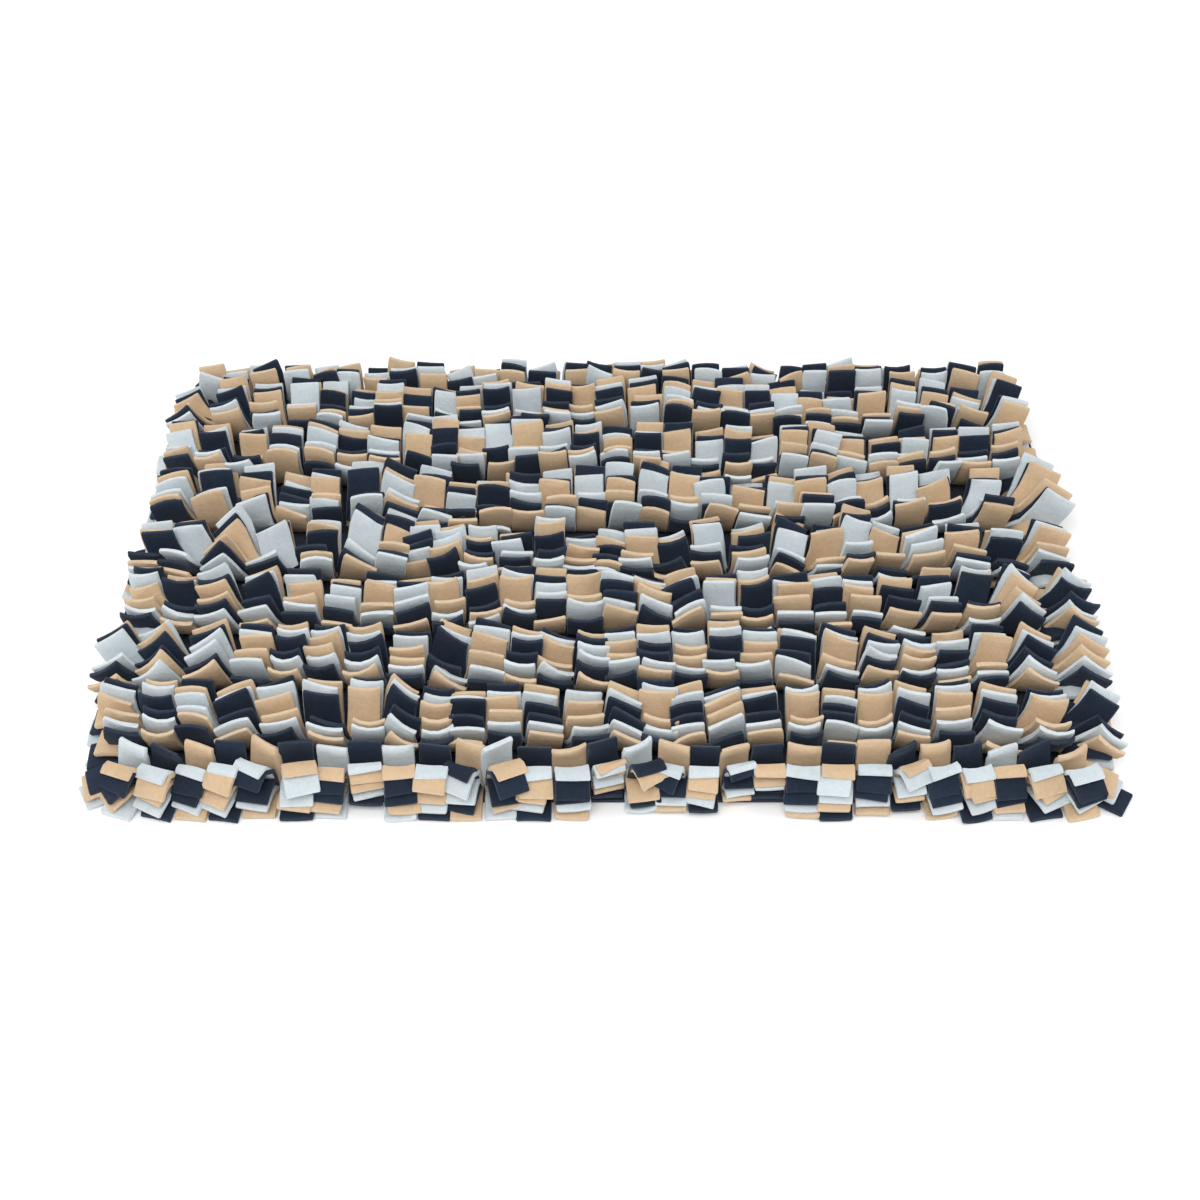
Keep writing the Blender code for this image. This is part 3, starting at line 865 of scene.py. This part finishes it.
def grouped_material(name, group, values, relief, finish):
    """A material whose colour, roughness and relief come from a node group with these values.
    The finish is set on the shader itself. Returns the material and the group's node."""
    material = bpy.data.materials.new(name)
    material.use_nodes = True
    tree = material.node_tree
    shader = set_inputs(tree.nodes["Principled BSDF"], finish)
    node = tree.nodes.new("ShaderNodeGroup")
    node.node_tree = group
    set_inputs(node, values)
    bump = set_inputs(tree.nodes.new("ShaderNodeBump"), relief)
    tree.links.new(bump.outputs["Normal"], shader.inputs["Normal"])
    fed = {
        "Color": shader.inputs["Base Color"],
        "Roughness": shader.inputs["Roughness"],
        "Height": bump.inputs["Height"],
    }
    for output in node.outputs:
        tree.links.new(output, fed[output.name])
    return material, node


def fleece_material(name):
    *colours, mottle = FLEECE_FINISH[name]
    base, edge, sheen = ((*colour, 1.0) for colour in colours)
    values = {"Fleece Color": base, "Edge Highlight Color": edge, "Mottle": mottle}
    material, nap = grouped_material(name, FLEECE_GROUP, values, FLEECE_RELIEF, FLEECE_SHADER)
    tree = material.node_tree
    for label, source in (("Tint", "tab_tint"), ("Edge Highlight Share", "edge_highlight")):
        attribute = tree.nodes.new("ShaderNodeAttribute")
        attribute.attribute_name = source
        tree.links.new(attribute.outputs["Fac"], nap.inputs[label])
    set_inputs(tree.nodes["Principled BSDF"], {"Sheen Tint": sheen})
    material.diffuse_color = base
    return material


FLEECE_MATERIALS = [fleece_material(name) for name in FLEECES]
print("fleece materials:", [material.name for material in FLEECE_MATERIALS])

# %% [markdown]
# ## The rows as pieces
# Each row becomes three pieces, one for each colour, because a piece takes its finish from one
# slot. Every piece is one joined mesh from arrays. Each point keeps its tab's tint, and its share
# of the painted highlight on the cut edges, which is 1 along the tab's sides and tip and 0 on its
# faces.

# %% Rows as pieces
SHARP_ANGLE = math.radians(48)
FLOOR_GAP = 0.0001  # below the lowest tabs
# Share of the painted highlight on the cut edges: round a ring, and along the tab.
HIGHLIGHT_ACROSS = np.tile([0.12, 0.0, 0.0, 0.0, 0.12, 1.0], 2)
HIGHLIGHT_ALONG = np.array([0.0, 0.0, 0.0, 0.0, 0.25, 1.0])


def new_piece(name, vertices, faces, material, node):
    """A mesh object at the origin that rides on the mat, stands for node and is smooth but for
    its sharp edges."""
    mesh = bpy.data.meshes.new(name)
    mesh.from_pydata(vertices, [], faces)
    mesh.materials.append(material)
    mesh.shade_smooth()
    mesh.set_sharp_from_angle(angle=SHARP_ANGLE)
    piece = bpy.data.objects.new(name, mesh)
    bpy.context.scene.collection.objects.link(piece)
    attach(piece, "root")
    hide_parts(node)
    return piece


def build_row(row):
    tabs = ALL_TABS[row]
    chance = np.random.default_rng(40 + row)
    tint = chance.random(len(tabs["colour"]))
    pieces = []
    for colour, name in enumerate(FLEECES):
        chosen = tabs["colour"] == colour
        picked = {field: values[chosen] for field, values in tabs.items()}
        surface = tab_surface(picked)
        surface[..., 2] = np.maximum(surface[..., 2], FLOOR_GAP)
        quads, threes = tab_faces(len(surface))
        piece = new_piece(
            f"row_{row + 1:02d}_{name.removeprefix('fleece_')}",
            surface.reshape(-1, 3),
            quads.tolist() + threes.tolist(),
            FLEECE_MATERIALS[colour],
            f"tab_row_{row + 1:02d}",
        )
        edge = np.maximum(HIGHLIGHT_ACROSS[None, :], HIGHLIGHT_ALONG[:, None])
        for label, values in (("edge_highlight", edge), ("tab_tint", tint[chosen][:, None, None])):
            values = np.broadcast_to(values, surface.shape[:3]).ravel().astype(np.float32)
            piece.data.attributes.new(label, "FLOAT", "POINT").data.foreach_set("value", values)
        pieces.append(piece)
    return pieces


ROW_PIECES = [build_row(row) for row in range(ROWS)]
print("faces of the rows:", sum(len(piece.data.polygons) for row in ROW_PIECES for piece in row))

# %% [markdown]
# ## The base cloth
# Under the pile lies a sheet of woven cotton with its cut edge left raw. It is one closed sheet
# from a grid, with corners pulled in to arcs. The seams pull it into shallow grooves.

# %% Base cloth
CLOTH_CORNER = 0.012
SHEET_TOP, SHEET_BOTTOM = 0.0025, 0.0002
CLOTH_STEPS = (150, 108)
DIP_DEPTH, DIP_HALF = 0.0004, 0.0018
SEAM_LINES = np.array(SEAM_Y)


def cloth_plan(steps):
    """A grid over the cloth. Inside a corner's square, a point is pulled in by
    max(dx, dy) / hypot(dx, dy), which turns the square's outside into an arc."""
    half = np.array(CLOTH_HIGH[:2])
    u, v = np.meshgrid(np.linspace(-1, 1, steps[0]), np.linspace(-1, 1, steps[1]), indexing="ij")
    plan = np.stack([u, v], axis=-1) * half
    core = half - CLOTH_CORNER
    over = np.maximum(np.abs(plan) - core, 0) / CLOTH_CORNER
    pull = over.max(-1) / np.maximum(np.hypot(over[..., 0], over[..., 1]), 1e-9)
    pulled = np.sign(plan) * (core + over * pull[..., None] * CLOTH_CORNER)
    both = (over > 0).all(-1, keepdims=True)
    return np.where(both, pulled, plan)


def cloth_height(x, y):
    """A dip along each seam as a bell curve, and slow waves between them."""
    near = np.abs(y[..., None] - SEAM_LINES).min(-1)
    dip = DIP_DEPTH * np.exp(-((near / DIP_HALF) ** 2))
    return 0.00012 * wave(14 * x + 3 * y) + 0.0001 * wave(31 * x - 17 * y) - dip


print("seams:", len(SEAM_LINES))

# %% Base cloth as a sheet
def grid_quads(rows, columns):
    i, j = np.meshgrid(np.arange(rows - 1), np.arange(columns - 1), indexing="ij")
    first = i * columns + j
    return np.stack([first, first + columns, first + columns + 1, first + 1], axis=-1).reshape(-1, 4)


def build_cloth_group():
    """Two threads cross: a wave along X and one along Y, of which the higher one shows. Color puts
    painted shade in the gaps between threads and a painted highlight on their tops, and mottles
    the dye."""
    values = {"Thread Color": (0.1, 0.1, 0.1, 1.0), "Threads": 900.0, "Mottle": 0.2}
    group, enter, leave = new_group("woven_cotton", values, ("Color", "Height"))
    place = group.nodes.new("ShaderNodeSeparateXYZ")
    where = group.nodes.new("ShaderNodeTexCoord").outputs["Object"]
    fill(group, place.inputs, [where])
    waves = []
    for axis in (0, 1):
        turns = maths(group, "MULTIPLY", place.outputs[axis], enter.outputs["Threads"])
        angle = maths(group, "MULTIPLY", turns, 2 * math.pi)
        waves.append(maths(group, "ABSOLUTE", maths(group, "SINE", angle)))
    threads = maths(group, "MAXIMUM", *waves)
    slubs = noise(group, where, 240.0, 3.0)
    # Painted shade between the threads and a painted highlight on their tops, with slubs.
    parts = [rescale(group, threads, -0.9, 0.4, 0.3, 1.0), rescale(group, slubs, -0.6, 0.6)]
    colour = mottled(group, enter.outputs["Thread Color"], enter.outputs["Mottle"], parts)
    fill(group, leave.inputs, (colour, maths(group, "MULTIPLY_ADD", slubs, 0.5, threads)))
    return group


CLOTH_GROUP = build_cloth_group()
CLOTH_RELIEF = {"Strength": 0.6, "Distance": 0.0003}
CLOTH_SHADER = {"Roughness": 0.9, "Specular IOR Level": 0.2, "Sheen Weight": 0.1}


def woven_material(name, colour, threads):
    values = {"Thread Color": colour, "Threads": threads}
    material, _ = grouped_material(name, CLOTH_GROUP, values, CLOTH_RELIEF, CLOTH_SHADER)
    material.diffuse_color = colour
    return material


# The cloth's near-black navy is a guess, kept this dark partly so that the furrows between rows read as
# shade: partly painted shade.
CLOTH_MATERIAL = woven_material("base_cloth", (0.030, 0.036, 0.055, 1.0), 700.0)
plan = cloth_plan(CLOTH_STEPS)
ripple = cloth_height(plan[..., 0], plan[..., 1])
top = points(plan[..., 0], plan[..., 1], SHEET_TOP + ripple)
bottom = points(plan[..., 0], plan[..., 1], SHEET_BOTTOM - ripple * 0.5)
under = ripple.size  # from a point's number to that of the one below it
upper = grid_quads(*CLOTH_STEPS)
lower = upper[:, ::-1] + under
index = np.arange(under).reshape(CLOTH_STEPS)
rim = np.concatenate([index[:, 0], index[-1, 1:], index[-2::-1, -1], index[0, -2:0:-1]])
after = np.roll(rim, -1)
walls = np.stack([rim + under, after + under, after, rim], axis=-1)
cloth = new_piece(
    "base_cloth_sheet",
    np.concatenate([top.reshape(-1, 3), bottom.reshape(-1, 3)]),
    np.concatenate([upper, lower, walls]).tolist(),
    CLOTH_MATERIAL,
    "base_cloth",
)
print("base cloth faces:", len(cloth.data.polygons))

# %% [markdown]
# ## Stitches under the base cloth
# From below, each seam shows as stitches in navy thread. A stitch is a short six-sided bar,
# thinner at its ends. It is worked out once and added to every place in an array.

# %% Stitches
STITCH_PITCH, STITCH_LENGTH = 0.0042, 0.0034
STITCH_HALF_WIDTH, STITCH_HALF_HEIGHT = 0.00045, 0.00025
STITCH_HEIGHT, STITCH_MARGIN = 0.00035, 0.006
STITCH_ROWS = 0.0012  # each seam is sewn twice, this far to either side of its line
SIDES, STATIONS = 6, 4


def stitch_shape():
    """Six points round the bar at four stations, swelling as 0.45 + 0.55 sin(pi share)."""
    share = np.linspace(0, 1, STATIONS)
    angle = np.arange(SIDES) * 2 * math.pi / SIDES
    swell = 0.45 + 0.55 * np.sin(math.pi * share)
    x = (share - 0.5) * STITCH_LENGTH
    y = np.cos(angle) * STITCH_HALF_WIDTH
    z = np.sin(angle) * STITCH_HALF_HEIGHT
    return points(x[:, None], y * swell[:, None], z * swell[:, None])


stitch = stitch_shape().reshape(-1, 3)
reach = CLOTH_HIGH[0] - STITCH_MARGIN
places = np.arange(-reach, reach, STITCH_PITCH)
lines = np.concatenate([SEAM_LINES - STITCH_ROWS, SEAM_LINES + STITCH_ROWS])
centre_x, centre_y = (grid.reshape(-1) for grid in np.meshgrid(places, lines))
all_stitches = points(centre_x, centre_y, STITCH_HEIGHT)[:, None, :] + stitch[None]
ring = np.arange(SIDES)
caps = np.stack([ring[::-1], ring + (STATIONS - 1) * SIDES])
bar_faces = copied(tube_quads(STATIONS, SIDES), len(centre_x), len(stitch)).tolist()
bar_faces += copied(caps, len(centre_x), len(stitch)).tolist()
THREAD_MATERIAL = woven_material("sewing_thread", (0.020, 0.026, 0.045, 1.0), 2400.0)
stitches = new_piece(
    "seam_stitches", all_stitches.reshape(-1, 3), bar_faces, THREAD_MATERIAL, "base_cloth"
)
print("stitches:", len(centre_x))

# %% [markdown]
# ## Floor and lamps
# The mat lies on a plain pale floor under soft light from all round, with one large lamp above
# its front and a weaker one from each side.

# %% Floor and lamps
FLOOR_HALF = 6.0
FLOOR_FINISH = {
    "Base Color": (0.96, 0.96, 0.96, 1.0),
    "Roughness": 0.8,
    "Specular IOR Level": 0.1,
    "Emission Color": (1.0, 1.0, 1.0, 1.0),
    "Emission Strength": 0.07,
}
SKY = {"Color": (0.985, 1.0, 1.015, 1.0), "Strength": 0.70}
floor_mesh = bpy.data.meshes.new("floor")
signs = ((-1, -1), (1, -1), (1, 1), (-1, 1))
floor_mesh.from_pydata([(x * FLOOR_HALF, y * FLOOR_HALF, 0) for x, y in signs], [], [(0, 1, 2, 3)])
floor = bpy.data.objects.new("floor", floor_mesh)
bpy.context.scene.collection.objects.link(floor)
floor_material = bpy.data.materials.new("floor")
floor_material.use_nodes = True
set_inputs(floor_material.node_tree.nodes["Principled BSDF"], FLOOR_FINISH)
floor_mesh.materials.append(floor_material)

world = bpy.data.worlds.new("studio")
world.use_nodes = True
set_inputs(world.node_tree.nodes["Background"], SKY)
bpy.context.scene.world = world

# Name, place, size in metres and power in watts of each lamp. All face the mat's middle.
LAMPS = (
    ("key", (-0.3, -1.6, 2.26), 1.8, 41.0),
    ("left", (-2.2, 0.2, 1.3), 1.4, 9.0),
    ("right", (2.2, -0.2, 1.3), 1.4, 9.0),
)
for name, place, size, power in LAMPS:
    lamp_data = bpy.data.lights.new(name, "AREA")
    lamp_data.size = size
    lamp_data.energy = power
    aimed(name, lamp_data, place, Vector((0.0, 0.0, 0.0)))
bpy.context.scene.view_settings.view_transform = "Standard"
print("lamps:", len(LAMPS))

# %% [markdown]
# ## What moves
# Nothing on a mat moves on a joint, so every piece rides on the one body.

# %% The end
bpy.context.view_layer.update()
